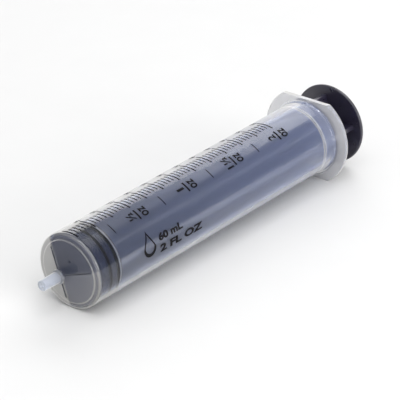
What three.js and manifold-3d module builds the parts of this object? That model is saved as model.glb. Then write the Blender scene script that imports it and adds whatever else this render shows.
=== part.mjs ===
// A 60 mL plastic syringe with an eccentric slip nozzle, as used for oral dosing, flushing and injecting.
// Three separate pieces: the barrel moulding, the rubber stopper inside it, and the plunger rod.
// Units are millimetres. +X runs along the barrel from the nozzle end to the thumb disc, +Z is up, square
// to the flats of the finger flange, and the origin is the centre of the barrel's front face.
import * as THREE from "three";
import { mergeVertices } from "three/addons/utils/BufferGeometryUtils.js";
import Module from "manifold-3d";

// ---- Driving dimensions ----

// Barrel tube
const boreDiameter = 26.4;
const wallThickness = 1.3;
const endWallThickness = 1.15;
const flangeFrontX = 136.94; // front face of the finger flange
const shoulderWidth = 2.4; // ring between the flat middle of the front face and the tube's outside
const faceStep = 0.25; // how far that ring sits back from the flat middle
const shoulderRound = 1.2; // outside edge of the front end
const flareRound = 1.6; // fillet between the tube and the flange

// Finger flange: a disc cut by two flats
const flangeWing = 5.04; // how far its round edge stands out from the tube
const flangeLip = 1.65; // how far its flats stand out from the tube
const flangeThickness = 1.8;

// Retention ridge inside the open end, which keeps the stopper in
const ridgeFromMouth = 7.44;
const ridgeHeight = 0.35;
const ridgeHalfLength = 0.8;

// Slip nozzle, off centre in the end wall
const nozzleOffsetY = 4.4;
const nozzleOffsetZ = -3.0;
const nozzleLength = 9.3;
const nozzleTipRadius = 2.0;
const nozzleTaper = 0.06; // of diameter on length, the usual slip cone
const nozzleBoreRadius = 1.0;
const nozzleCollarRadius = 2.75;
const nozzleCollarLength = 1.6;
const nozzleEdge = 0.25; // rounding of the tip

// Thin ribs on the front face, which run out from the foot of the nozzle
const faceRibAngles = [71.6, 158, 251.6]; // degrees from +Y towards +Z
const faceRibWidth = 0.5;
const faceRibHeight = 0.2;
const faceRibMargin = 1.2; // from the end of each rib to the edge of the flat middle

// Rubber stopper
const ribClearance = 0.06; // radial, from the sealing ribs to the bore
const stopperSeatGap = 0.15; // from the front of the stopper to the end wall
const frontRibLength = 0.75; // first sealing rib, at the very front
const frontRibChamfer = 0.25;
const ribCentres = [5.75, 10.1]; // the other sealing ribs, measured from the stopper's front
const ribHalfWidth = 0.4;
const ribSlope = 0.35; // length over which a rib falls to the waist
const ribProud = 0.75; // height of a rib over the waist between the ribs
const stopperSkirt = 0.6; // body behind the last rib
const socketFrontDepth = 3.05; // solid rubber in front of the socket
const socketLipLength = 2.6; // inward lip that holds the knob
const socketRadius = 8.0;
const socketLipRadius = 6.0;

// Plunger rod: snap knob, push disc, four webs and a thumb disc
const knobClearance = 0.3; // all round, between the knob and the socket
const knobChamfer = 1.1;
const pushDiscGap = 0.25; // between the push disc and the back of the stopper
const pushDiscThickness = 1.5;
const pushDiscInset = 0.3; // push disc's radius under the webs' radius
const webClearance = 0.35; // radial, from the webs to the retention ridge
const webThickness = 1.9;
const webFillet = 1.1; // in the four corners where the webs meet
const webTurn = -8.5; // degrees the webs are turned about the axis at rest
const thumbGap = 13.36; // from the back of the flange to the thumb disc
const thumbDiscRadius = 16.2;
const thumbDiscThickness = 1.5;
const thumbEdge = 0.35;
const gripRingRadii = [5, 8.5, 12]; // raised rings on the back of the thumb disc
const gripRingHeight = 0.3;
const gripRingHalfWidth = 0.45;

// ---- Values that follow from them ----

const boreRadius = boreDiameter / 2;
const tubeRadius = boreRadius + wallThickness;
const faceDiscRadius = tubeRadius - shoulderWidth;
const faceRibReach = faceDiscRadius - faceRibMargin;
const flangeRadius = tubeRadius + flangeWing;
const flangeFlatHalf = tubeRadius + flangeLip;
const mouthX = flangeFrontX + flangeThickness;
const ridgeX = mouthX - ridgeFromMouth;
const ridgeRadius = boreRadius - ridgeHeight;
const ribRadius = boreRadius - ribClearance;
const waistRadius = ribRadius - ribProud;
const stopperFrontX = endWallThickness + stopperSeatGap;
const stopperBackX = stopperFrontX + ribCentres.at(-1) + ribHalfWidth + stopperSkirt;
const socketFrontX = stopperFrontX + socketFrontDepth;
const socketLipX = stopperBackX - socketLipLength;
const pushDiscX = stopperBackX + pushDiscGap;
const pushDiscBackX = pushDiscX + pushDiscThickness;
const webRadius = ridgeRadius - webClearance;
const thumbDiscX = mouthX + thumbGap;
const thumbDiscBackX = thumbDiscX + thumbDiscThickness;

// ---- Tools of the trade ----

const SIDES = 64; // facets of a full turn
const SMALL_SIDES = 32; // facets of the nozzle
const ARC_STEPS = 4; // facets of a quarter round
const SINK = 0.3; // how deep joined shapes reach into each other
const THROUGH = 1; // how far a cutter runs past what it cuts

const wasm = await Module();
wasm.setup();

const rad = THREE.MathUtils.degToRad;

// A closed geometry as a solid that can be joined and cut.
function solid(geometry) {
  geometry.deleteAttribute("normal");
  geometry.deleteAttribute("uv");
  const merged = mergeVertices(geometry, 1e-4);
  return new wasm.Manifold(
    new wasm.Mesh({
      numProp: 3,
      vertProperties: new Float32Array(merged.attributes.position.array),
      triVerts: new Uint32Array(merged.index.array),
    }),
  );
}

// A solid as the named mesh of one piece.
function piece(name, body, material) {
  const mesh = body.getMesh();
  const geometry = new THREE.BufferGeometry()
    .setAttribute("position", new THREE.BufferAttribute(mesh.vertProperties, 3))
    .setIndex(new THREE.BufferAttribute(mesh.triVerts, 1));
  geometry.computeVertexNormals();
  const made = new THREE.Mesh(geometry, new THREE.MeshStandardMaterial(material));
  made.name = name;
  return made;
}

// A profile of [x, radius] points turned about the X axis. It runs from the axis, out, towards +X and back.
function turned(profile, sides = SIDES) {
  const points = profile.map(([x, radius]) => new THREE.Vector2(radius, x));
  return solid(new THREE.LatheGeometry(points, sides).rotateZ(-Math.PI / 2));
}

// A shape drawn in Y and Z, made solid from x0 to x1.
function extruded(shape, x0, x1, steps = ARC_STEPS) {
  const geometry = new THREE.ExtrudeGeometry(shape, {
    depth: x1 - x0,
    bevelEnabled: false,
    curveSegments: steps,
  });
  const toYZ = new THREE.Matrix4().makeBasis(
    new THREE.Vector3(0, 1, 0),
    new THREE.Vector3(0, 0, 1),
    new THREE.Vector3(1, 0, 0),
  );
  return solid(geometry.applyMatrix4(toYZ).translate(x0, 0, 0));
}

// Points of a circular arc in a profile, round centre [x, radius], angles in degrees from the X axis.
function arc(centreX, centreRadius, size, from, to, steps = ARC_STEPS) {
  return Array.from({ length: steps + 1 }, (_, i) => {
    const angle = rad(from + ((to - from) * i) / steps);
    return [centreX + size * Math.cos(angle), centreRadius + size * Math.sin(angle)];
  });
}

// ---- Barrel ----

function barrelOutside() {
  return turned([
    [0, 0],
    [0, faceDiscRadius],
    [faceStep, faceDiscRadius + faceStep],
    ...arc(faceStep + shoulderRound, tubeRadius - shoulderRound, shoulderRound, 180, 90),
    ...arc(flangeFrontX - flareRound, tubeRadius + flareRound, flareRound, -90, 0),
    [flangeFrontX + SINK, tubeRadius + flareRound],
    [flangeFrontX + SINK, 0],
  ]);
}

function flange() {
  const corner = Math.asin(flangeFlatHalf / flangeRadius);
  const outline = new THREE.Shape();
  outline.absarc(0, 0, flangeRadius, -corner, corner, false);
  outline.absarc(0, 0, flangeRadius, Math.PI - corner, Math.PI + corner, false);
  outline.closePath();
  return extruded(outline, flangeFrontX, mouthX, SIDES / 4);
}

function nozzle() {
  const coneRadius = (x) => nozzleTipRadius + ((x + nozzleLength) * nozzleTaper) / 2;
  const collarX = -nozzleCollarLength;
  return turned(
    [
      [-nozzleLength, 0],
      [-nozzleLength, nozzleTipRadius - nozzleEdge],
      [-nozzleLength + nozzleEdge, coneRadius(-nozzleLength + nozzleEdge)],
      [collarX, coneRadius(collarX)],
      [collarX + nozzleEdge, nozzleCollarRadius],
      [SINK, nozzleCollarRadius],
      [SINK, 0],
    ],
    SMALL_SIDES,
  ).translate([0, nozzleOffsetY, nozzleOffsetZ]);
}

// One rib of the front face, from inside the nozzle's collar out to the reach radius.
function faceRib(degrees) {
  const along = new THREE.Vector2(Math.cos(rad(degrees)), Math.sin(rad(degrees)));
  const start = new THREE.Vector2(nozzleOffsetY, nozzleOffsetZ);
  const middle = start.dot(along);
  const room = faceRibReach ** 2 - start.lengthSq() + middle ** 2;
  const length = Math.sqrt(room) - middle;
  const bar = new THREE.BoxGeometry(faceRibHeight + SINK, length, faceRibWidth);
  bar.translate((SINK - faceRibHeight) / 2, length / 2, 0);
  bar.rotateX(rad(degrees));
  bar.translate(0, nozzleOffsetY, nozzleOffsetZ);
  return solid(bar);
}

function chamber() {
  return turned([
    [endWallThickness, 0],
    [endWallThickness, boreRadius],
    [ridgeX - ridgeHalfLength, boreRadius],
    [ridgeX, ridgeRadius],
    [ridgeX + ridgeHalfLength, boreRadius],
    [mouthX + THROUGH, boreRadius],
    [mouthX + THROUGH, 0],
  ]);
}

function nozzleBore() {
  return turned(
    [
      [-nozzleLength - THROUGH, 0],
      [-nozzleLength - THROUGH, nozzleBoreRadius],
      [endWallThickness + THROUGH, nozzleBoreRadius],
      [endWallThickness + THROUGH, 0],
    ],
    SMALL_SIDES,
  ).translate([0, nozzleOffsetY, nozzleOffsetZ]);
}

function barrel() {
  const ribs = faceRibAngles.map(faceRib);
  const outside = [flange(), nozzle(), ...ribs].reduce((sum, next) => sum.add(next), barrelOutside());
  return piece("barrel", outside.subtract(chamber()).subtract(nozzleBore()), {
    color: 0xd5d9de,
    roughness: 0.38,
    metalness: 0,
    transparent: true,
    opacity: 0.5,
  });
}

// ---- Stopper ----

function sealingRib(centre) {
  const x = stopperFrontX + centre;
  return [
    [x - ribHalfWidth - ribSlope, waistRadius],
    [x - ribHalfWidth, ribRadius],
    [x + ribHalfWidth, ribRadius],
    [x + ribHalfWidth + ribSlope, waistRadius],
  ];
}

function stopper() {
  const body = turned([
    [stopperFrontX, 0],
    [stopperFrontX, ribRadius - frontRibChamfer],
    [stopperFrontX + frontRibChamfer, ribRadius],
    [stopperFrontX + frontRibLength, ribRadius],
    [stopperFrontX + frontRibLength + ribSlope, waistRadius],
    ...ribCentres.flatMap(sealingRib),
    [stopperBackX, waistRadius],
    [stopperBackX, socketLipRadius],
    [socketLipX, socketLipRadius],
    [socketLipX, socketRadius],
    [socketFrontX, socketRadius],
    [socketFrontX, 0],
  ]);
  return piece("stopper", body, { color: 0x23262f, roughness: 0.62, metalness: 0 });
}

// ---- Plunger rod ----

function rodCore() {
  const knobRadius = socketRadius - knobClearance;
  const neckRadius = socketLipRadius - knobClearance;
  const knobFront = socketFrontX + knobClearance;
  const knobBack = socketLipX - knobClearance;
  const pushRadius = webRadius - pushDiscInset;
  return turned([
    [knobFront, 0],
    [knobFront, knobRadius - knobChamfer],
    [knobFront + knobChamfer, knobRadius],
    [knobBack, knobRadius],
    [knobBack, neckRadius],
    [pushDiscX, neckRadius],
    [pushDiscX, pushRadius],
    [pushDiscBackX, pushRadius],
    [pushDiscBackX, 0],
  ]);
}

// The cross of four webs, with a fillet in each corner.
function webs() {
  const half = webThickness / 2;
  const bend = half + webFillet;
  const reach = Math.sqrt(webRadius ** 2 - half ** 2);
  const outline = new THREE.Shape();
  for (let quarter = 0; quarter < 4; quarter += 1) {
    const turn = (quarter * Math.PI) / 2;
    const at = (y, z) => new THREE.Vector2(y, z).rotateAround(new THREE.Vector2(), turn);
    const place = quarter ? "lineTo" : "moveTo";
    outline[place](at(reach, -half).x, at(reach, -half).y);
    outline.lineTo(at(reach, half).x, at(reach, half).y);
    outline.lineTo(at(bend, half).x, at(bend, half).y);
    const centre = at(bend, bend);
    outline.absarc(centre.x, centre.y, webFillet, turn - Math.PI / 2, turn - Math.PI, true);
  }
  outline.closePath();
  const cross = extruded(outline, pushDiscBackX - SINK, thumbDiscX + SINK);
  return cross.rotate([webTurn, 0, 0]);
}

function gripRing(radius) {
  return [
    [thumbDiscBackX, radius + gripRingHalfWidth],
    [thumbDiscBackX + gripRingHeight, radius],
    [thumbDiscBackX, radius - gripRingHalfWidth],
  ];
}

function thumbDisc() {
  return turned([
    [thumbDiscX, 0],
    [thumbDiscX, thumbDiscRadius - thumbEdge],
    [thumbDiscX + thumbEdge, thumbDiscRadius],
    [thumbDiscBackX - thumbEdge, thumbDiscRadius],
    [thumbDiscBackX, thumbDiscRadius - thumbEdge],
    ...gripRingRadii.toReversed().flatMap(gripRing),
    [thumbDiscBackX, 0],
  ]);
}

function plungerRod() {
  const body = rodCore().add(webs()).add(thumbDisc());
  return piece("plunger_rod", body, { color: 0x1c1e2b, roughness: 0.3, metalness: 0 });
}

// ---- Assembly ----

const syringe = new THREE.Group();
const plunger = new THREE.Group();
plunger.add(stopper(), plungerRod());
syringe.add(barrel(), plunger);

export default syringe;
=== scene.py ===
"""Looks of a 60 mL plastic syringe: milky barrel, rubber stopper, blue-black plunger rod and printed scales.

Lengths in the tables are millimetres, and MM turns them into the metres of the frame. X runs along the
barrel from the nozzle end to the thumb disc, Z is up, and angles round the barrel count from +Y towards +Z.
"""

import math

import bpy
from mathutils import Euler, Matrix, Vector


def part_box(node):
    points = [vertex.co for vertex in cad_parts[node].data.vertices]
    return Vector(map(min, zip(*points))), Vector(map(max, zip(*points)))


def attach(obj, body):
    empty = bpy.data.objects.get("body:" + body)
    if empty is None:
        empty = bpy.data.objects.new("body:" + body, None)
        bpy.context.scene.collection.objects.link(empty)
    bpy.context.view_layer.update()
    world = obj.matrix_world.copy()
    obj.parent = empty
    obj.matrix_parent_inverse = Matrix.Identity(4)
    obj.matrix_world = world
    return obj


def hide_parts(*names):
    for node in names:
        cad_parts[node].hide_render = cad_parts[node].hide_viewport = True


MM = 0.001
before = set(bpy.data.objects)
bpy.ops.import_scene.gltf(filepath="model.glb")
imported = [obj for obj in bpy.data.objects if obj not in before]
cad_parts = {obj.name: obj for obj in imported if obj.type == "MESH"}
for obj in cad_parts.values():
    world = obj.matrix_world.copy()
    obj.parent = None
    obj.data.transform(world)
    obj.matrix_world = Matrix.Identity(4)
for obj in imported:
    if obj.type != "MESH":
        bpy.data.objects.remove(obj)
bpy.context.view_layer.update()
COLLECTION = bpy.context.scene.collection

# ---- Sizes read from the frame ----

barrel_low, barrel_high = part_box("barrel")
stopper_low, stopper_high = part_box("stopper")
rod_low, rod_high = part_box("plunger_rod")

NOZZLE_LENGTH = -barrel_low.x / MM
MOUTH = barrel_high.x / MM
FLANGE_RADIUS = barrel_high.y / MM
FLANGE_FLAT = barrel_high.z / MM
STOPPER_FRONT = stopper_low.x / MM
STOPPER_BACK = stopper_high.x / MM
RIB_RADIUS = stopper_high.z / MM
KNOB_FRONT = rod_low.x / MM
THUMB_RADIUS = rod_high.z / MM
GRIP_RING_HEIGHT = 0.3
THUMB_BACK = rod_high.x / MM - GRIP_RING_HEIGHT  # the rings stand on the disc's back

# ---- Sizes of the mouldings ----

TUBE_RADIUS = 14.5
BORE_RADIUS = 13.2
END_WALL = 1.15
FACE_RADIUS = 12.1
FACE_STEP = 0.25
SHOULDER_ROUND = 1.2
FLARE_ROUND = 1.6
FLANGE_THICKNESS = 1.8
FLANGE_FRONT = MOUTH - FLANGE_THICKNESS
RIDGE_X = MOUTH - 7.44
RIDGE_HEIGHT = 0.35
NOZZLE_Y, NOZZLE_Z = 4.4, -3.0
FACE_RIBS = (71.6, 158, 251.6)  # the directions of the ribs on the front, from the nozzle
FACE_RIB_HALF, FACE_RIB_HEIGHT = 0.25, 0.2
FACE_RIB_MARGIN = 1.2  # from the end of a rib to the edge of the raised face
GATE_Y, GATE_Z = -0.8, 4.3
THUMB_FRONT = THUMB_BACK - 1.5
RUBBER_RIBS = (STOPPER_FRONT + 5.75, STOPPER_FRONT + 9.7)
SCALE_ZERO = 2.27
SCALE_LENGTH = 109.66  # of 60 mL
ML_STEP = SCALE_LENGTH / 60
OUNCE_ML = 29.5735
WEB_RADIUS = BORE_RADIUS - RIDGE_HEIGHT - 0.35

SIDES = 192  # facets of a full turn


# ---- Modelling helpers ----


def active():
    return bpy.context.view_layer.objects.active


def alone(piece):
    """Makes a piece the only selected one, and the active one."""
    bpy.ops.object.select_all(action="DESELECT")
    piece.select_set(True)
    bpy.context.view_layer.objects.active = piece
    return piece


def begin():
    bpy.ops.object.select_all(action="DESELECT")


def edit(piece):
    alone(piece)
    bpy.ops.object.mode_set(mode="EDIT")
    bpy.ops.mesh.select_mode(type="VERT")
    bpy.ops.mesh.select_all(action="SELECT")


def done():
    bpy.ops.object.mode_set(mode="OBJECT")
    return active()


def settle(piece):
    """Puts a piece's place, turn and size into its mesh."""
    alone(piece)
    bpy.ops.object.transform_apply(location=True, rotation=True, scale=True)
    return piece


def tidy_mesh(piece):
    edit(piece)
    bpy.ops.mesh.remove_doubles(threshold=1e-6)
    bpy.ops.mesh.normals_make_consistent(inside=False)
    return done()


def smooth(piece, degrees=35):
    alone(piece)
    bpy.ops.object.shade_smooth_by_angle(angle=math.radians(degrees))
    return piece


def modifier(piece, kind, **settings):
    """Adds a modifier to a piece and applies it."""
    alone(piece)
    bpy.ops.object.modifier_add(type=kind)
    added = piece.modifiers[-1]
    for key, value in settings.items():
        setattr(added, key, value)
    bpy.ops.object.modifier_apply(modifier=added.name)
    return piece


def named(piece, name):
    piece.name = name
    piece.data.name = name
    return piece


def start_point(x, y, z):
    """A new mesh of one vertex, left in edit mode."""
    begin()
    bpy.ops.mesh.primitive_plane_add(size=MM)
    bpy.ops.object.mode_set(mode="EDIT")
    bpy.ops.mesh.select_mode(type="VERT")
    bpy.ops.mesh.select_all(action="SELECT")
    bpy.ops.mesh.merge(type="CENTER")
    bpy.ops.transform.translate(value=(x * MM, y * MM, z * MM))


def turned(name, profile, sides=SIDES):
    """A profile of [x, radius] points spun round the X axis."""
    start_point(profile[0][0], 0, profile[0][1])
    for (x0, r0), (x1, r1) in zip(profile, profile[1:]):
        step = ((x1 - x0) * MM, 0, (r1 - r0) * MM)
        bpy.ops.mesh.extrude_vertices_move(TRANSFORM_OT_translate={"value": step})
    bpy.ops.mesh.select_all(action="SELECT")
    bpy.ops.mesh.spin(steps=sides, angle=math.tau, center=(0, 0, 0), axis=(1, 0, 0))
    done()
    return named(tidy_mesh(active()), name)


def arc(x, radius, size, start, end, steps=6):
    """Points of a round edge in a profile: centre, size, and angles in degrees from the X axis."""
    angles = [math.radians(start + (end - start) * i / steps) for i in range(steps + 1)]
    return [[x + size * math.cos(a), radius + size * math.sin(a)] for a in angles]


def block(low, high):
    """A box between two corners."""
    begin()
    bpy.ops.mesh.primitive_cube_add(size=1)
    made = active()
    made.location = [(a + b) / 2 * MM for a, b in zip(low, high)]
    made.scale = [(b - a) * MM for a, b in zip(low, high)]
    return settle(made)


def combine(piece, tool, operation):
    """Joins a tool to a piece, or cuts it away, and drops the tool."""
    modifier(piece, "BOOLEAN", object=tool, operation=operation, solver="EXACT")
    bpy.data.objects.remove(tool)
    return piece


def cut_flat(piece, point, normal):
    """Cuts off what lies past a plane, and closes the cut."""
    edit(piece)
    bpy.ops.mesh.bisect(plane_co=point, plane_no=normal, use_fill=True, clear_outer=True, threshold=1e-6)
    return done()


def turn(piece, degrees):
    """Turns a finished piece round the X axis."""
    piece.rotation_euler = (math.radians(degrees), 0, 0)
    return settle(piece)


# ---- Camera ----

AZIMUTH, ELEVATION, ROLL = 310.21, 27.22, -1.42
DISTANCE = 0.8094
AIM = Vector((71.36, -0.62, -0.78)) * MM


def camera():
    made = bpy.data.objects.new("camera", bpy.data.cameras.new("camera"))
    COLLECTION.objects.link(made)
    made.data.sensor_width = 36
    made.data.lens = 195.95
    made.data.clip_start = 0.02
    turned_to = Euler((math.radians(90 - ELEVATION), 0, math.radians(AZIMUTH)), "XYZ").to_matrix()
    turned_to = turned_to @ Matrix.Rotation(math.radians(ROLL), 3, "Z")
    made.matrix_world = Matrix.Translation(AIM + turned_to.col[2] * DISTANCE) @ turned_to.to_4x4()
    bpy.context.scene.camera = made


camera()

# ---- Materials ----


class Wire:
    """A value on its way through a material. Arithmetic on it adds Math nodes."""

    def __init__(self, finish, socket):
        self.finish, self.socket = finish, socket

    def math(self, operation, *values):
        return self.finish.node("Math", {"operation": operation}, dict(enumerate((self, *values))))

    def __add__(self, other):
        return self.math("ADD", other)

    def __mul__(self, other):
        return self.math("MULTIPLY", other)

    def __sub__(self, other):
        return self.math("SUBTRACT", other)

    def __rsub__(self, other):
        return self.finish.node("Math", {"operation": "SUBTRACT"}, {0: other, 1: self})

    __radd__ = __add__
    __rmul__ = __mul__


class Finish:
    """A material under construction, with one Principled shader."""

    def __init__(self, name, **constants):
        self.material = bpy.data.materials.new(name)
        self.material.use_nodes = True
        self.tree = self.material.node_tree
        self.shader = self.tree.nodes["Principled BSDF"]
        for key, value in constants.items():
            self.shader.inputs[key.replace("_", " ")].default_value = value

    def node(self, kind, settings=None, sockets=None, out=0):
        made = self.tree.nodes.new("ShaderNode" + kind)
        for key, value in (settings or {}).items():
            if key == "stops":
                self.set_stops(made.color_ramp, value)
            else:
                setattr(made, key, value)
        for key, value in (sockets or {}).items():
            if isinstance(value, Wire):
                self.tree.links.new(value.socket, made.inputs[key])
            else:
                made.inputs[key].default_value = value
        return Wire(self, made.outputs[out])

    @staticmethod
    def set_stops(ramp, stops):
        while len(ramp.elements) < len(stops):
            ramp.elements.new(1)
        for element, (place, colour) in zip(ramp.elements, stops):
            element.position = place
            element.color = colour

    def place(self):
        return self.node("TexCoord", out="Object")

    def axes(self):
        """The X, Y and Z of the surface, in millimetres."""
        parts = self.node("SeparateXYZ", sockets={0: self.place()})
        outputs = parts.socket.node.outputs
        return [Wire(self, outputs[i]) * (1 / MM) for i in range(3)]

    def noise(self, per_mm, detail=2.0, stretch=(1, 1, 1)):
        """Soft noise from 0 to 1, with so many bumps to a millimetre."""
        scaled = self.node("Mapping", sockets={"Vector": self.place(), "Scale": stretch})
        sockets = {"Vector": scaled, "Scale": per_mm / MM, "Detail": detail}
        return self.node("TexNoise", sockets=sockets)

    def spread(self, value, low, high, start=0.0, end=1.0):
        """Maps a value's range low..high to start..end."""
        sockets = {"Value": value, "From Min": low, "From Max": high, "To Min": start, "To Max": end}
        return self.node("MapRange", {"clamp": True}, sockets)

    def blend(self, factor, first, second):
        """A colour between two colours."""
        return self.node("Mix", {"data_type": "RGBA"}, {0: factor, 6: first, 7: second}, out=2)

    def feed(self, name, wire):
        self.tree.links.new(wire.socket, self.shader.inputs[name])

    def mixed(self, first, second, factor):
        """A shader between two shaders."""
        return self.node("MixShader", sockets={0: factor, 1: first, 2: second})

    def show(self, shader):
        self.tree.links.new(shader.socket, self.tree.nodes["Material Output"].inputs["Surface"])

    def bump(self, height, strength, depth_mm):
        sockets = {"Strength": strength, "Distance": depth_mm * MM, "Height": height}
        self.feed("Normal", self.node("Bump", sockets=sockets))


def barrel_plastic():
    """Natural polypropylene: clear face on, milky where thick or slanting, and in parts of the front, with
    painted light and shade carried in the same milkiness.
    """
    f = Finish("barrel_plastic", IOR=1.49, Transmission_Weight=1.0)
    flow = f.noise(0.25, 3.0)
    x, y, z = f.axes()
    radius = (y * y + z * z).math("SQRT")
    f.feed("Base Color", f.blend(flow, (0.96, 0.96, 0.95, 1), (0.99, 0.99, 0.98, 1)))
    f.feed("Roughness", f.spread(flow, 0.3, 0.7, 0.05, 0.08))
    f.bump(f.noise(0.12, 1.0), 0.15, 0.4)

    # Each of these is 1 in its own part of the barrel and 0 elsewhere.
    nozzle = f.spread(x, -0.3, -1.2)
    flange = f.spread(radius, TUBE_RADIUS + 0.2, TUBE_RADIUS + 1.5)
    bore = f.spread(radius, TUBE_RADIUS - 0.4, BORE_RADIUS + 0.3) * f.spread(x, 1.6, 2.0)
    collar = f.spread(x, RIDGE_X, RIDGE_X + 1.5)
    # The pale line along the inner ridge is a painted highlight.
    ridge = f.spread((x - RIDGE_X).math("ABSOLUTE"), 0.5, 0.25)

    front, gate = front_haze(f, x, y, z, radius)
    slant = slanting(f, z) * (1 - bore)
    # milk_and_light: real milkiness of the nozzle, flange, collar and slanting walls, plus a painted
    # highlight on the ridge and the front's painted light and shade.
    milk_and_light = front * (1 - nozzle) + nozzle * 0.2 + flange * 0.1
    milk_and_light = milk_and_light + slant * 0.5 + ridge * 0.3 + collar * 0.05
    # The bore's haze, plus a painted glow behind the stopper and towards the mouth.
    cloud_and_glow = bore * bore_cloud(f, x, collar)

    warm_white, cold_white = (0.97, 0.96, 0.94, 1), (0.60, 0.74, 1.0, 1)
    pale_blue, off_white, gate_black = (0.46, 0.55, 0.92, 1), (0.92, 0.91, 0.89, 1), (0.01, 0.01, 0.03, 1)
    haze_colour = f.blend(bore.math("MAXIMUM", nozzle * 0.5), warm_white, cold_white)
    veil_colour = f.blend(gate, f.blend(milk_and_light * 4, pale_blue, off_white), gate_black)
    haze = f.node("BsdfTranslucent", sockets={"Color": haze_colour})
    veil = f.node("BsdfDiffuse", sockets={"Color": veil_colour})
    clear = Wire(f, f.shader.outputs[0])
    hazy = f.mixed(clear, haze, bore * 0.22 + flange * 0.35 + nozzle * 0.35 + 0.03)
    f.show(f.mixed(hazy, veil, milk_and_light + cloud_and_glow + gate * 0.5 + 0.006))
    return f.material


def front_haze(f, x, y, z, radius):
    """Painted light and shade on the front, with a little real milkiness, and where its gate mark lies.

    One sector beside the nozzle is pale, the one below it a third as much, as painted light, and the rims of
    the front are pale lines, as painted highlights. The ribs stay clear and so look dark, as painted shade.
    """
    side, across = beside_rib(y, z, FACE_RIBS[0]), beside_rib(y, z, FACE_RIBS[1])
    wide, narrow = FACE_RIB_HALF + 0.15, FACE_RIB_HALF
    # The face ribs are kept clear so that they look dark: painted shade.
    across_rib = f.spread(across.math("ABSOLUTE"), wide, narrow) * f.spread(side, 0, 0.3)
    rib = f.spread(side.math("ABSOLUTE"), wide, narrow).math("MAXIMUM", across_rib)
    rib = rib * f.spread(radius, FACE_RADIUS - 0.9, FACE_RADIUS - 1.3)

    below = f.spread(side, -0.3, 0.3) * f.spread(across, -1.0, 0.3)
    # Painted light on the sectors beside and below the nozzle, and painted highlights on the rims.
    sectors = f.spread(side, 1.2, -0.3, 0.0, 0.38) + below * 0.12 + f.spread(radius, 2, 12.5) * 0.05 + 0.03
    rims = f.spread((radius - FACE_RADIUS).math("ABSOLUTE"), 0.4, 0.15) + f.spread(radius, 13.5, 14.2)
    milk_and_light = f.spread(x, 0.3, 1.2, 1.0, 0.0) * sectors + f.spread(x, 1.7, 1.3) * rims * 0.15

    from_gate = ((y - GATE_Y) * (y - GATE_Y) + (z - GATE_Z) * (z - GATE_Z)).math("SQRT")
    gate = f.spread(from_gate, 0.9, 0.5) * f.spread(x, 0.8, 0.4)
    return milk_and_light * (1 - rib), gate


def slanting(f, z):
    """1 where the surface is seen at a slant, and less on the underside, where the lesser haze is painted
    shade.
    """
    facing = f.node("LayerWeight", sockets={"Blend": 0.5}, out=1)
    return f.spread(facing, 0.49, 0.67) * (1 - f.spread(z, 3, -6) * 0.4)


def bore_cloud(f, x, collar):
    """How cloudy the bore is, and the painted light in it: clear where the pushed-in stopper's ribs press,
    with a painted glow behind the stopper that grows towards the mouth.
    """
    loose = f.spread(x, 2.4, 2.7)
    for centre in RUBBER_RIBS:
        loose = loose * f.spread((x - centre).math("ABSOLUTE"), 0.6, 0.8)
    # The rise behind the stopper and towards the mouth is painted light, as if light came in through the open
    # end.
    behind_stopper = f.spread(x, 12.6, 13.2)
    towards_mouth = f.spread(x, 13, 125)
    return loose * 0.03 + behind_stopper * 0.1 + towards_mouth * 0.19 + collar * 0.04


def beside_rib(y, z, angle):
    """How far a point of the front lies to one side of the line of a face rib, in millimetres."""
    along = math.radians(angle)
    return (z - NOZZLE_Z) * math.cos(along) - (y - NOZZLE_Y) * math.sin(along)


def stopper_rubber():
    """Black rubber with a faint blue bloom between the ribs. The ribs are painted near-black as painted
    shade, and a pale ring on the rear lip is a painted highlight.
    """
    f = Finish("stopper_rubber", Specular_IOR_Level=0.3)
    bloom = f.noise(1.2, 4.0)
    x, y, z = f.axes()
    radius = (y * y + z * z).math("SQRT")
    waist = f.spread(radius, RIB_RADIUS - 0.1, RIB_RADIUS - 0.4)
    skin = f.blend(f.spread(bloom, 0.35, 0.7), (0.014, 0.019, 0.050, 1), (0.022, 0.028, 0.066, 1))
    # A pale ring on the rear lip: a painted highlight.
    lip_highlight = f.spread(x, STOPPER_BACK - 0.4, STOPPER_BACK - 0.3)
    lip_highlight = lip_highlight * f.spread(radius, RIB_RADIUS - 0.6, RIB_RADIUS - 0.4)
    # The ribs are painted near-black: painted shade where they press on the bore.
    skin = f.blend(1 - waist, skin, (0.002, 0.002, 0.004, 1))
    skin = f.blend(f.spread(x, STOPPER_FRONT + 0.1, STOPPER_FRONT), skin, (0.012, 0.016, 0.045, 1))
    f.feed("Base Color", f.blend(lip_highlight, skin, (0.6, 0.6, 0.66, 1)))
    f.feed("Roughness", f.spread(bloom, 0.3, 0.7, 0.42, 0.6))
    f.bump(f.noise(4.0, 3.0), 0.25, 0.05)
    return f.material


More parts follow.
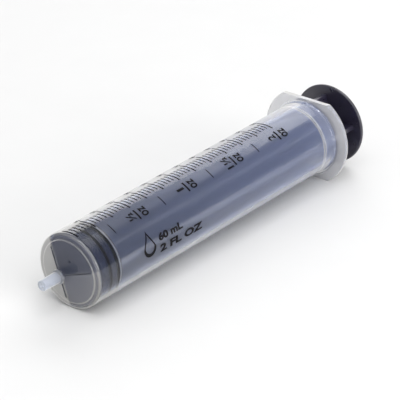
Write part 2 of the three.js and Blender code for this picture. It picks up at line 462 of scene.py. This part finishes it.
def rod_plastic():
    """Blue-black polypropylene with the sheen of a moulded skin.

    The webs are painted paler than the thumb disc, as painted light, and paler still at their edges and
    roots, as painted highlights, so that they show through the haze of the barrel.
    """
    f = Finish("rod_plastic", IOR=1.5, Specular_IOR_Level=1.0)
    flow = f.noise(0.3, 3.0, (0.25, 1, 1))
    x, y, z = f.axes()
    # The webs away from the thumb disc get a paler colour: painted light.
    webs = f.spread(x, THUMB_FRONT - 4, THUMB_FRONT - 12)
    skin = f.blend(flow, (0.012, 0.010, 0.024, 1), (0.018, 0.015, 0.034, 1))
    radius = (y * y + z * z).math("SQRT")
    # Their edges and roots are paler still: painted highlights.
    edges = f.spread(radius, WEB_RADIUS - 0.4, WEB_RADIUS - 0.15)
    root_highlights = f.spread(radius, 3.2, 2.4) * 0.6
    lit_web_colour = f.blend(edges.math("MAXIMUM", root_highlights), (0.075, 0.078, 0.105, 1), (0.22, 0.22, 0.25, 1))
    f.feed("Base Color", f.blend(webs, skin, lit_web_colour))
    f.feed("Roughness", f.spread(flow, 0.3, 0.7, 0.26, 0.36))
    f.bump(f.noise(2.5, 3.0), 0.2, 0.03)
    return f.material


def scale_ink():
    """Black printing ink, matt and a little thin in places."""
    f = Finish("scale_ink", Specular_IOR_Level=0.15)
    wear = f.noise(5.0, 4.0)
    black = f.blend(f.spread(wear, 0.4, 0.8), (0.004, 0.004, 0.006, 1), (0.012, 0.012, 0.016, 1))
    f.feed("Base Color", black)
    f.feed("Roughness", f.spread(wear, 0.3, 0.7, 0.7, 0.85))
    return f.material


MATERIALS = {
    "barrel_plastic": barrel_plastic(),
    "stopper_rubber": stopper_rubber(),
    "rod_plastic": rod_plastic(),
    "scale_ink": scale_ink(),
}


def finished(piece, body, slot, replaces=()):
    """Gives a piece its finish, hangs it on the body it rides on, and hides the parts it stands for."""
    piece.data.materials.clear()
    piece.data.materials.append(MATERIALS[slot])
    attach(piece, body)
    for node in replaces:
        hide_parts(node)


# ---- Barrel ----


def barrel_shell():
    """Tube, end wall and a round flange in one turned shell."""
    outside = [
        [0, 0],
        *arc(0.12, FACE_RADIUS - 0.12, 0.12, 180, 90, 3),
        [FACE_STEP, FACE_RADIUS + 0.05],
        *arc(FACE_STEP + SHOULDER_ROUND, TUBE_RADIUS - SHOULDER_ROUND, SHOULDER_ROUND, 180, 90),
        *arc(FLANGE_FRONT - FLARE_ROUND, TUBE_RADIUS + FLARE_ROUND, FLARE_ROUND, -90, 0),
        *arc(FLANGE_FRONT + 0.4, FLANGE_RADIUS - 0.4, 0.4, 180, 90, 4),
        *arc(MOUTH - 0.4, FLANGE_RADIUS - 0.4, 0.4, 90, 0, 4),
    ]
    ridge = [
        [RIDGE_X + 0.9 * math.cos(a), BORE_RADIUS - RIDGE_HEIGHT * math.sin(a)]
        for a in [math.pi * i / 8 for i in range(9)]
    ]
    inside = [
        *arc(MOUTH - 0.5, BORE_RADIUS + 0.5, 0.5, 0, -90, 5),
        *ridge,
        *arc(END_WALL + 0.3, BORE_RADIUS - 0.3, 0.3, 90, 180, 4),
        [END_WALL, 0],
    ]
    return turned("barrel_shell", outside + inside)


def nozzle_cone():
    cone_end = 2.0 + (NOZZLE_LENGTH - 1.6) * 0.03
    made = turned(
        "nozzle",
        [
            [-NOZZLE_LENGTH, 0],
            *arc(-NOZZLE_LENGTH + 0.25, 1.75, 0.25, 180, 95, 4),
            [-1.75, cone_end],
            *arc(-1.35, cone_end + 0.25, 0.25, 180, 100, 3),
            *arc(-0.5, 3.15, 0.5, -90, 0, 4),
            [0.3, 3.15],
            [0.3, 0],
        ],
        64,
    )
    made.location = (0, NOZZLE_Y * MM, NOZZLE_Z * MM)
    return settle(made)


def nozzle_bore():
    made = turned("nozzle_bore", [[-12, 0], [-12, 1.0], [3, 1.0], [3, 0]], 48)
    made.location = (0, NOZZLE_Y * MM, NOZZLE_Z * MM)
    return settle(made)


def face_rib(angle):
    """A thin rib on the front, from the nozzle's foot out to the raised face's edge."""
    along = Vector((0, math.cos(math.radians(angle)), math.sin(math.radians(angle))))
    foot = Vector((0, NOZZLE_Y, NOZZLE_Z))
    across = foot.dot(along)
    reach = FACE_RADIUS - FACE_RIB_MARGIN
    length = math.sqrt(across * across + reach * reach - foot.length_squared) - across
    made = block((-FACE_RIB_HEIGHT, 2.0, -FACE_RIB_HALF), (0.3, length, FACE_RIB_HALF))
    modifier(made, "BEVEL", width=0.1 * MM, segments=3, limit_method="ANGLE")
    made.rotation_euler = (math.radians(angle), 0, 0)
    made.location = foot * MM
    return settle(made)


def gate_mark():
    """The dimple that the moulding gate leaves on the front."""
    made = turned("gate_mark", [[-0.3, 0], [-0.3, 0.55], [0.05, 0.42], [0.35, 0]], 32)
    made.location = (0, GATE_Y * MM, GATE_Z * MM)
    return settle(made)


def barrel():
    made = barrel_shell()
    for side in (1, -1):
        cut_flat(made, (0, 0, side * FLANGE_FLAT * MM), (0, 0, side))
    combine(made, nozzle_cone(), "UNION")
    for angle in FACE_RIBS:
        combine(made, face_rib(angle), "UNION")
    combine(made, gate_mark(), "DIFFERENCE")
    combine(made, nozzle_bore(), "DIFFERENCE")
    smooth(made, 40)
    finished(named(made, "barrel_body"), "barrel", "barrel_plastic", ["barrel"])


# ---- Stopper ----

SEAL_RADIUS = BORE_RADIUS + 0.01  # the ribs press on the bore, with no air between


def stopper():
    waist = RIB_RADIUS - 0.75

    def rib(x):
        return [
            *arc(x - 1.0, waist + 0.25, 0.25, -90, -20, 3),
            *arc(x - 0.4, SEAL_RADIUS - 0.3, 0.3, 160, 90, 4),
            *arc(x + 0.4, SEAL_RADIUS - 0.3, 0.3, 90, 20, 4),
            *arc(x + 1.0, waist + 0.25, 0.25, 200, 270, 3),
        ]

    front = END_WALL - 0.01  # the front is pressed flat on the end wall
    lip = STOPPER_BACK - 0.15
    made = turned(
        "stopper_rubber_piece",
        [
            [front, 0],
            *arc(front + 0.3, SEAL_RADIUS - 0.3, 0.3, 180, 90, 4),
            *arc(front + 1.2, SEAL_RADIUS - 0.3, 0.3, 90, 20, 4),
            *arc(front + 1.8, waist + 0.25, 0.25, 200, 270, 3),
            *rib(RUBBER_RIBS[0]),
            *rib(RUBBER_RIBS[1]),
            [lip - 0.35, waist],
            *arc(lip, RIB_RADIUS - 0.15, 0.15, 180, 0, 6),
            *arc(STOPPER_BACK - 0.3, 6.3, 0.3, 0, -90, 4),
            [STOPPER_BACK - 2.6, 6.0],
            [STOPPER_BACK - 2.6, 8.0],
            [front + 3.05, 8.0],
            [front + 3.05, 0],
        ],
    )
    smooth(made, 40)
    finished(named(made, "stopper_body"), "stopper", "stopper_rubber", ["stopper"])


# ---- Plunger rod ----

ROD_TURN = -8.5
WEB_HALF = 0.95
WEB_REACH = math.sqrt(WEB_RADIUS**2 - WEB_HALF**2)
PUSH_DISC_FRONT = STOPPER_BACK + 0.25
PUSH_DISC_BACK = PUSH_DISC_FRONT + 1.5


def on_hub(face):
    """True if a face of the webs' bar is one of the four sides it started with."""
    return abs(face.center.y) + abs(face.center.z) < 1.1 * WEB_HALF * MM


def rod_webs():
    """The cross of four webs, pulled out of the four sides of a square bar."""
    made = block((PUSH_DISC_BACK - 0.3, -WEB_HALF, -WEB_HALF), (THUMB_FRONT + 0.3, WEB_HALF, WEB_HALF))
    for axis in (1, 2):
        for side in (1, -1):
            edit(made)
            bpy.ops.mesh.select_all(action="DESELECT")
            done()
            for face in made.data.polygons:
                outward = face.normal[axis] * side > 0.9
                face.select = outward and on_hub(face)
            bpy.ops.object.mode_set(mode="EDIT")
            bpy.ops.mesh.select_mode(type="FACE")
            step = [0, 0, 0]
            step[axis] = side * (WEB_REACH - WEB_HALF) * MM
            bpy.ops.mesh.extrude_region_move(TRANSFORM_OT_translate={"value": step})
            done()
    round_edges(made, lambda y, z: max(abs(y), abs(z)) < 1.1 * WEB_HALF, 1.1, 6)
    round_edges(made, lambda y, z: max(abs(y), abs(z)) > 0.99 * WEB_REACH, 0.2, 3)
    return made


def round_edges(piece, where, size, steps):
    """Rounds the edges along X whose Y and Z, in millimetres, pass a test."""
    edit(piece)
    bpy.ops.mesh.select_all(action="DESELECT")
    done()
    points = piece.data.vertices
    for edge in piece.data.edges:
        start, end = (points[i].co / MM for i in edge.vertices)
        edge.select = abs(end.x - start.x) > 1 and where(start.y, start.z)
    bpy.ops.object.mode_set(mode="EDIT")
    bpy.ops.mesh.select_mode(type="EDGE")
    bpy.ops.mesh.bevel(offset=size * MM, segments=steps, affect="EDGES")
    done()


def rod_core():
    push = WEB_RADIUS - 0.3
    return turned(
        "rod_core",
        [
            [KNOB_FRONT, 0],
            [KNOB_FRONT, 6.6],
            [KNOB_FRONT + 1.1, 7.7],
            [STOPPER_BACK - 2.9, 7.7],
            [STOPPER_BACK - 2.9, 5.7],
            [PUSH_DISC_FRONT, 5.7],
            *arc(PUSH_DISC_FRONT + 0.7, push - 0.7, 0.7, 180, 90, 5),
            *arc(PUSH_DISC_BACK - 0.7, push - 0.7, 0.7, 90, 0, 5),
            [PUSH_DISC_BACK, 0],
        ],
    )


def thumb_disc():
    rings = []
    for radius in (12, 8.5, 5):
        rings += [
            [THUMB_BACK + GRIP_RING_HEIGHT * math.cos(a), radius + 0.45 * math.sin(a)]
            for a in [math.pi * (0.5 - i / 6) for i in range(7)]
        ]
    return turned(
        "thumb_disc",
        [
            [THUMB_FRONT, 0],
            *arc(THUMB_FRONT + 0.6, THUMB_RADIUS - 0.6, 0.6, 180, 90, 5),
            *arc(THUMB_BACK - 0.7, THUMB_RADIUS - 0.7, 0.7, 90, 0, 5),
            *rings,
            [THUMB_BACK, 0],
        ],
    )


def plunger_rod():
    made = turn(rod_webs(), ROD_TURN)
    combine(made, rod_core(), "UNION")
    combine(made, thumb_disc(), "UNION")
    smooth(made, 35)
    finished(named(made, "plunger_rod_body"), "plunger", "rod_plastic", ["plunger_rod"])


# ---- Prints ----

INK_RADIUS = TUBE_RADIUS + 0.01
INK_DEPTH = 0.04


def arc_mark(x, width, start, end):
    """A printed line across the barrel: a short edge spun round the axis, from one angle to another."""
    start_point(x - width / 2, INK_RADIUS, 0)
    bpy.ops.mesh.extrude_vertices_move(TRANSFORM_OT_translate={"value": (width * MM, 0, 0)})
    bpy.ops.mesh.select_all(action="SELECT")
    steps = max(4, round((end - start) / 1.5))
    bpy.ops.mesh.spin(steps=steps, angle=math.radians(end - start), center=(0, 0, 0), axis=(1, 0, 0))
    made = done()
    return turn(made, end)


def thicken(piece):
    """Gives a printed shape the thickness of a layer of ink."""
    return modifier(piece, "SOLIDIFY", thickness=INK_DEPTH * MM, offset=0)


def row_of(piece, count, step):
    return modifier(
        piece, "ARRAY", count=count, use_relative_offset=False,
        use_constant_offset=True, constant_offset_displace=(step * MM, 0, 0),
    )


def joined(pieces, name):
    bpy.ops.object.select_all(action="DESELECT")
    for piece in pieces:
        piece.select_set(True)
    bpy.context.view_layer.objects.active = pieces[0]
    bpy.ops.object.join()
    return named(active(), name)


def lettering(body, x_range, angles, sideways=False, weight=0.045):
    """Printed text that fills a length of the barrel between two angles, its tops towards the lower angle.

    Sideways text has its tops towards the nozzle and reads towards the lower angle.
    """
    begin()
    bpy.ops.object.text_add()
    made = active()
    made.data.body = body
    made.data.offset = weight
    made.data.resolution_u = 4
    alone(made)
    bpy.ops.object.convert(target="MESH")
    return wrapped(made, x_range, angles, sideways)


def wrapped(piece, x_range, angles, sideways=False):
    """Lays a flat mesh round the barrel, between two places and two angles."""
    if sideways:
        piece.rotation_euler = (0, 0, math.radians(90))
        settle(piece)
    corners = [Vector(corner) for corner in piece.bound_box]
    low, high = corners[0], corners[6]
    width = (x_range[1] - x_range[0]) * MM
    height = math.radians(angles[1] - angles[0]) * INK_RADIUS * MM
    middle = (low + high) / 2
    piece.location = -middle
    settle(piece)
    piece.scale = (width / (high.x - low.x), height / (high.y - low.y), 1)
    piece.rotation_euler = (math.radians(90), 0, 0)
    settle(piece)
    slice_up(piece, height)
    bend = height / (INK_RADIUS * MM)
    modifier(piece, "SIMPLE_DEFORM", deform_method="BEND", deform_axis="X", angle=bend)
    piece.location = (sum(x_range) / 2 * MM, -INK_RADIUS * MM, 0)
    settle(piece)
    return turn(piece, sum(angles) / 2 - 180)


def slice_up(piece, height):
    """Cuts a standing flat mesh into thin level strips, so that it can follow a curve."""
    steps = max(2, round(height / (0.4 * MM)))
    for i in range(1, steps):
        edit(piece)
        level = height * (i / steps - 0.5)
        bpy.ops.mesh.bisect(plane_co=(0, 0, level), plane_no=(0, 0, 1))
        done()


def millilitre_scale():
    marks = [
        row_of(arc_mark(SCALE_ZERO, 0.5, 79, 98), 61, ML_STEP),
        row_of(arc_mark(SCALE_ZERO, 0.62, 73, 103), 13, ML_STEP * 5),
    ]
    for volume in range(5, 65, 5):
        x = SCALE_ZERO + ML_STEP * volume
        start = 59 if volume > 9 else 63
        marks.append(lettering(str(volume), (x - 1.2, x + 1.2), (start, 70), sideways=True, weight=0.02))
    print_on(marks, "millilitre_scale")


def ounce_scale():
    marks = []
    for quarter in range(1, 9):
        width = 0.8 if quarter % 2 == 0 else 0.4
        marks.append(arc_mark(ounce_place(quarter), width, 109.5, 127))
    print_on(marks, "ounce_scale")


def ounce_place(quarters):
    """Where a number of quarter ounces falls along the barrel."""
    return SCALE_ZERO + ML_STEP * OUNCE_ML * quarters / 4


def ounce_numbers():
    """A number before each half-ounce line, and the unit after it."""
    marks = []
    numbers = {
        2: ("\u00bd", 110.5, 124.5),
        4: ("1", 116, 120),
        6: ("1\u00bd", 106, 128),
        8: ("2", 113, 121.5),
    }
    for quarters, (number, start, end) in numbers.items():
        x = ounce_place(quarters)
        marks.append(lettering(number, (x - 5.0, x - 1.4), (start, end), sideways=True, weight=0.025))
        marks.append(lettering("oz", (x + 1.8, x + 5.0), (110, 126.5), sideways=True, weight=0.02))
    print_on(marks, "ounce_numbers")


def drop_outline():
    """A plain drop, drawn as a ring of even width."""
    begin()
    bpy.ops.mesh.primitive_circle_add(vertices=64, radius=1)
    made = active()
    for point in made.data.vertices:
        if point.co.y > 0:
            point.co.x *= 1 - point.co.y
            point.co.y *= 2.0
    edit(made)
    bpy.ops.mesh.duplicate_move()
    bpy.ops.transform.resize(value=(0.72, 0.72, 1))
    bpy.ops.mesh.select_all(action="SELECT")
    bpy.ops.mesh.bridge_edge_loops()
    return done()


def capacity_print():
    """The size of the syringe, in plain lettering beside a drop."""
    marks = [
        wrapped(drop_outline(), (24.0, 30.5), (144, 184)),
        lettering("60 mL", (32.5, 45.5), (157, 168.5)),
        lettering("2 FL OZ", (32.5, 56.0), (174, 186)),
    ]
    print_on(marks, "capacity_print")


def print_on(marks, name):
    """Makes marks one layer of ink on the barrel."""
    made = thicken(tidy_mesh(joined(marks, name)))
    finished(made, "barrel", "scale_ink")


# ---- Stage and light ----


def area_light(name, place, aim, size, power):
    data = bpy.data.lights.new(name, "AREA")
    data.shape = "RECTANGLE"
    data.size, data.size_y = size
    data.energy = power
    made = bpy.data.objects.new(name, data)
    COLLECTION.objects.link(made)
    made.location = place
    made.rotation_euler = (Vector(aim) - Vector(place)).to_track_quat("-Z", "Y").to_euler()


def stage():
    """A pale table. The syringe lies on the edge of its front end and on the flat of its flange."""
    edge = FACE_STEP + SHOULDER_ROUND
    slope = (FLANGE_FLAT - TUBE_RADIUS) / (FLANGE_FRONT - edge)
    begin()
    bpy.ops.mesh.primitive_plane_add(size=12)
    table = named(active(), "table")
    table.rotation_euler = (0, math.atan(slope), 0)
    table.location = (edge * MM, 0, -TUBE_RADIUS * MM - 0.00002)
    f = Finish("table_paint", Roughness=0.6)
    speck = f.noise(0.05, 2.0)
    f.feed("Base Color", f.blend(speck, (0.75, 0.75, 0.75, 1), (0.77, 0.77, 0.77, 1)))
    table.data.materials.append(f.material)


def light():
    """Three soft panels, overhead, beside and beyond the syringe, in a pale room that is dim on one side."""
    world = bpy.data.worlds.new("studio")
    bpy.context.scene.world = world
    world.use_nodes = True
    tree = world.node_tree
    sky = tree.nodes["Background"]
    sky.inputs["Color"].default_value = (1, 1, 1, 1)
    place = tree.nodes.new("ShaderNodeTexCoord")
    towards_dim = tree.nodes.new("ShaderNodeVectorMath")
    towards_dim.operation = "DOT_PRODUCT"
    towards_dim.inputs[1].default_value = (0.6, -0.8, 0)
    fade = tree.nodes.new("ShaderNodeMapRange")
    for socket, value in {"From Min": 0.40, "From Max": 0.55, "To Min": 0.6, "To Max": 0.12}.items():
        fade.inputs[socket].default_value = value
    tree.links.new(place.outputs["Generated"], towards_dim.inputs[0])
    tree.links.new(towards_dim.outputs["Value"], fade.inputs["Value"])
    tree.links.new(fade.outputs[0], sky.inputs["Strength"])
    area_light("overhead", (0.0, -1.5, 1.9), (0.0, -1.5, 0), (2.2, 3.6), 48)
    area_light("side_panel", (0.1, -2.6, 0.8), (0.1, 0, 0), (1.6, 1.0), 30)
    area_light("far_panel", (2.9, 1.55, 2.0), (2.9, 1.55, 0), (2.5, 4), 66)
    bpy.context.scene.view_settings.view_transform = "Standard"


stage()
light()
barrel()
stopper()
plunger_rod()
millilitre_scale()
ounce_scale()
ounce_numbers()
capacity_print()
